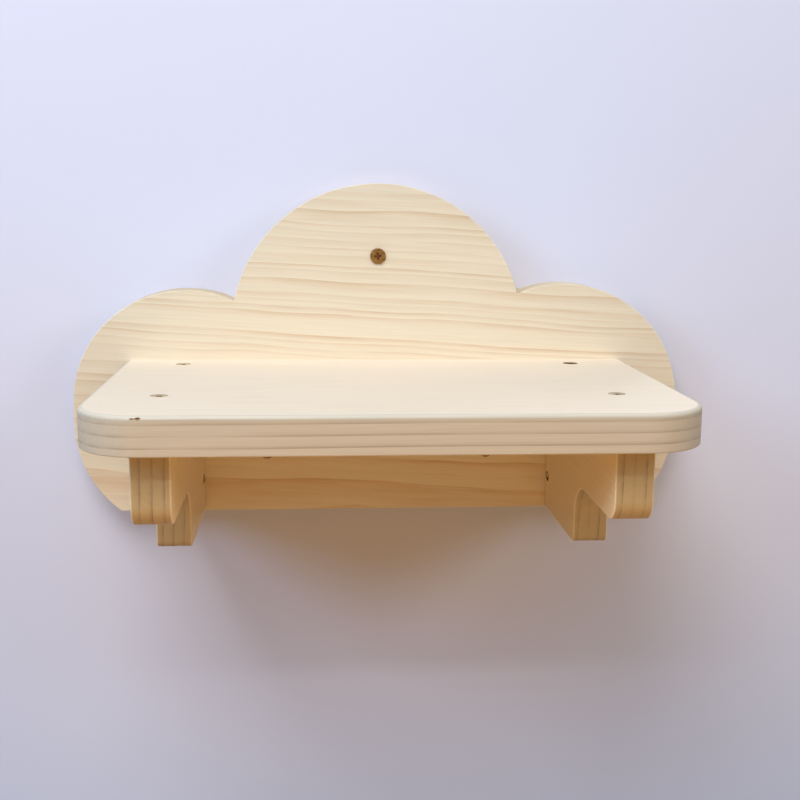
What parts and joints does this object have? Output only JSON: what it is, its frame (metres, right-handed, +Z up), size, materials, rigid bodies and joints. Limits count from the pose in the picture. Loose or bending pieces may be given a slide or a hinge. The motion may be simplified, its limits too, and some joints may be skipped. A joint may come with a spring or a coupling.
{
  "type": "cat wall shelf",
  "caption": "Pine wall shelf for a cat: a cloud-shaped back panel, a shelf board with rounded front corners and stepped brackets, screwed together and hung on screws in wall plugs.",
  "frame": {"origin": "on the wall's face, on the axis of the top wall screw", "axes": "+X to the right as seen from the room, +Y into the wall, +Z up"},
  "size_m": [0.348, 0.233, 0.1875],
  "materials": {
    "pine_panel": "sanded, unfinished pine",
    "pine_shelf": "sanded, unfinished pine",
    "pine_bracket": "sanded, unfinished pine",
    "bronzed_screw": "bronze plating, dull",
    "wall_plug": "moulded, matt"
  },
  "bodies": {
    "root": {"back_panel": "pine_panel", "shelf_board": "pine_shelf", "bracket_left": "pine_bracket", "bracket_right": "pine_bracket", "shelf_screw_front_left": "bronzed_screw", "shelf_screw_front_right": "bronzed_screw", "shelf_screw_rear_left": "bronzed_screw", "shelf_screw_rear_right": "bronzed_screw", "edge_screw_left": "bronzed_screw", "edge_screw_middle": "bronzed_screw", "edge_screw_right": "bronzed_screw", "bracket_screw_left": "bronzed_screw", "bracket_screw_right": "bronzed_screw", "toe_screw_left": "bronzed_screw", "toe_screw_right": "bronzed_screw", "wall_screw_top": "bronzed_screw", "wall_screw_left": "bronzed_screw", "wall_screw_right": "bronzed_screw", "wall_plug_top": "wall_plug", "wall_plug_left": "wall_plug", "wall_plug_right": "wall_plug"}
  },
  "joints": []
}
